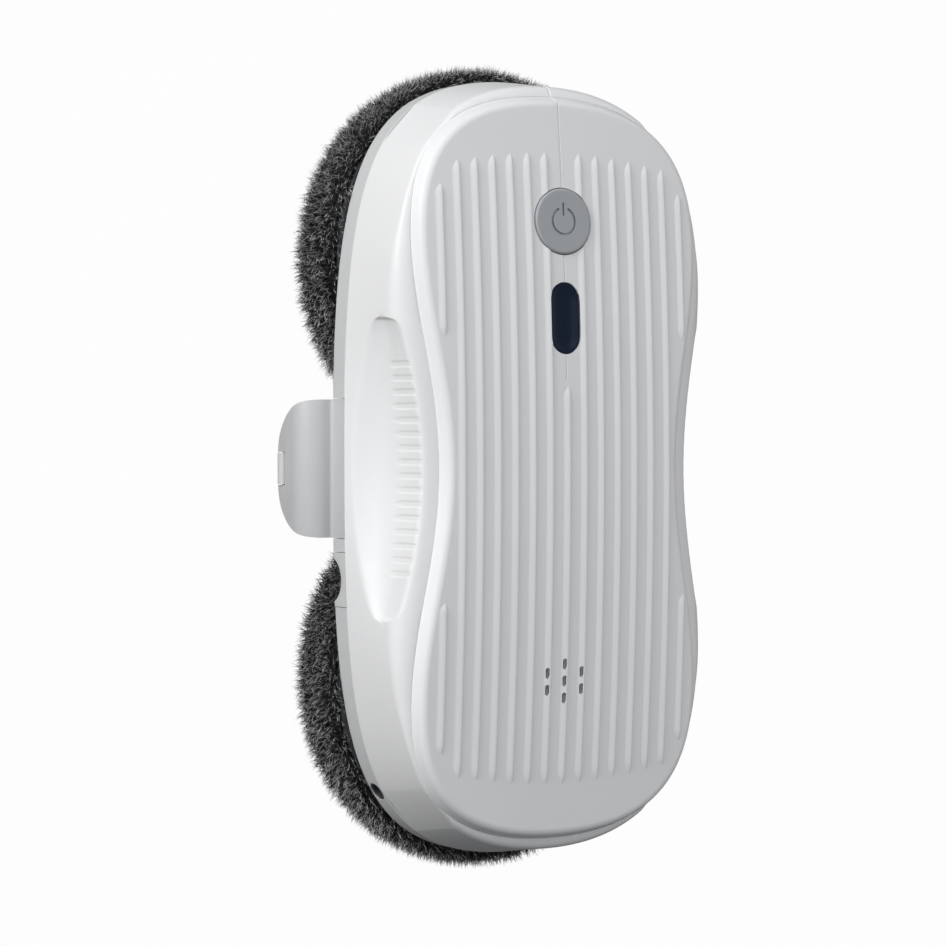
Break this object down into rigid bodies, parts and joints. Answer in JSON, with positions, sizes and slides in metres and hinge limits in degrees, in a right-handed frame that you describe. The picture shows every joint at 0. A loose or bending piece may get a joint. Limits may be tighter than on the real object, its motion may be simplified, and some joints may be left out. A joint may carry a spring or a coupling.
{
  "type": "window cleaning robot",
  "caption": "White waisted window cleaning robot lying on its two round fur mop pads, with a ribbed cover, power button, handle recesses and side guards with rollers.",
  "frame": {"origin": "centre of the footprint, at the glass under the mop pads", "axes": "+Z away from the glass to the cover, +Y along the housing toward the power button, +X to the right seen from above with the button at the top"},
  "size_m": [0.1654, 0.303, 0.078],
  "materials": {
    "white_shell": "satin white",
    "grey_shell": "matt pale grey",
    "lens_navy": "gloss, very dark navy",
    "clear_guide": "frosted",
    "dark_plastic": "matt dark grey",
    "button_grey": "matt bluish grey",
    "steel": "satin",
    "board_green": "solder mask",
    "cell_wrap": "shrink wrap",
    "gear_white": "natural",
    "bronze": "sintered",
    "disc_plastic": "matt grey",
    "hook_fabric": "hook tape",
    "fur_fabric": "long fur, near black with light tips"
  },
  "bodies": {
    "housing": {"lower_shell": "grey_shell", "upper_shell": "white_shell", "top_cover": "white_shell", "indicator_lens": "lens_navy", "light_guide": "clear_guide", "speaker": "dark_plastic", "cord_guide": "grey_shell", "dc_inlet": "dark_plastic", "side_guard_left": "grey_shell", "side_guard_right": "grey_shell", "roller_pin_left": "steel", "roller_pin_right": "steel", "button_switch": "steel", "main_board": "board_green", "battery_pack": "cell_wrap", "chassis": "dark_plastic", "air_duct": "dark_plastic", "fan_housing": "dark_plastic", "fan_motor": "steel", "drive_motor_upper": "steel", "drive_motor_lower": "steel", "shaft_bush_upper": "bronze", "shaft_bush_lower": "bronze", "housing_screws": "steel", "chassis_screws": "steel"},
    "mop_unit_upper": {"mop_disc_upper": "disc_plastic", "hook_ring_upper": "hook_fabric", "mop_pad_upper": "fur_fabric", "drive_gear_upper": "gear_white", "gear_clip_upper": "steel"},
    "mop_unit_lower": {"mop_disc_lower": "disc_plastic", "hook_ring_lower": "hook_fabric", "mop_pad_lower": "fur_fabric", "drive_gear_lower": "gear_white", "gear_clip_lower": "steel"},
    "pinion_upper": {"drive_pinion_upper": "gear_white"},
    "pinion_lower": {"drive_pinion_lower": "gear_white"},
    "impeller": {"fan_impeller": "gear_white"},
    "button": {"power_button": "button_grey", "switch_plunger": "dark_plastic"},
    "roller_left": {"guard_roller_left": "dark_plastic"},
    "roller_right": {"guard_roller_right": "dark_plastic"}
  },
  "joints": [
    {"name": "disc_upper_spin", "type": "hinge", "parent": "housing", "child": "mop_unit_upper", "pos_m": [0, 0.0775, 0.035], "axis": [0, 0, 1], "continuous": true},
    {"name": "disc_lower_spin", "type": "hinge", "parent": "housing", "child": "mop_unit_lower", "pos_m": [0, -0.0775, 0.035], "axis": [0, 0, 1], "continuous": true},
    {"name": "pinion_upper_spin", "type": "hinge", "parent": "housing", "child": "pinion_upper", "pos_m": [0, 0.1135, 0.052], "axis": [0, 0, 1], "continuous": true},
    {"name": "pinion_lower_spin", "type": "hinge", "parent": "housing", "child": "pinion_lower", "pos_m": [0, -0.1135, 0.052], "axis": [0, 0, 1], "continuous": true},
    {"name": "fan_spin", "type": "hinge", "parent": "housing", "child": "impeller", "pos_m": [0, 0, 0.055], "axis": [0, 0, 1], "continuous": true},
    {"name": "button_press", "type": "slide", "parent": "housing", "child": "button", "axis": [0, -0.0641, -0.9979], "range_m": [0, 0.001], "stiffness_N_per_m": 1200, "springref_m": -0.0004},
    {"name": "roller_left_spin", "type": "hinge", "parent": "housing", "child": "roller_left", "pos_m": [-0.0804, 0, 0.0103], "axis": [0, 1, 0], "continuous": true},
    {"name": "roller_right_spin", "type": "hinge", "parent": "housing", "child": "roller_right", "pos_m": [0.0804, 0, 0.0103], "axis": [0, 1, 0], "continuous": true}
  ],
  "couplings": [
    {"joint": "pinion_upper_spin", "follows": "disc_upper_spin", "ratio": -5},
    {"joint": "pinion_lower_spin", "follows": "disc_lower_spin", "ratio": -5}
  ]
}
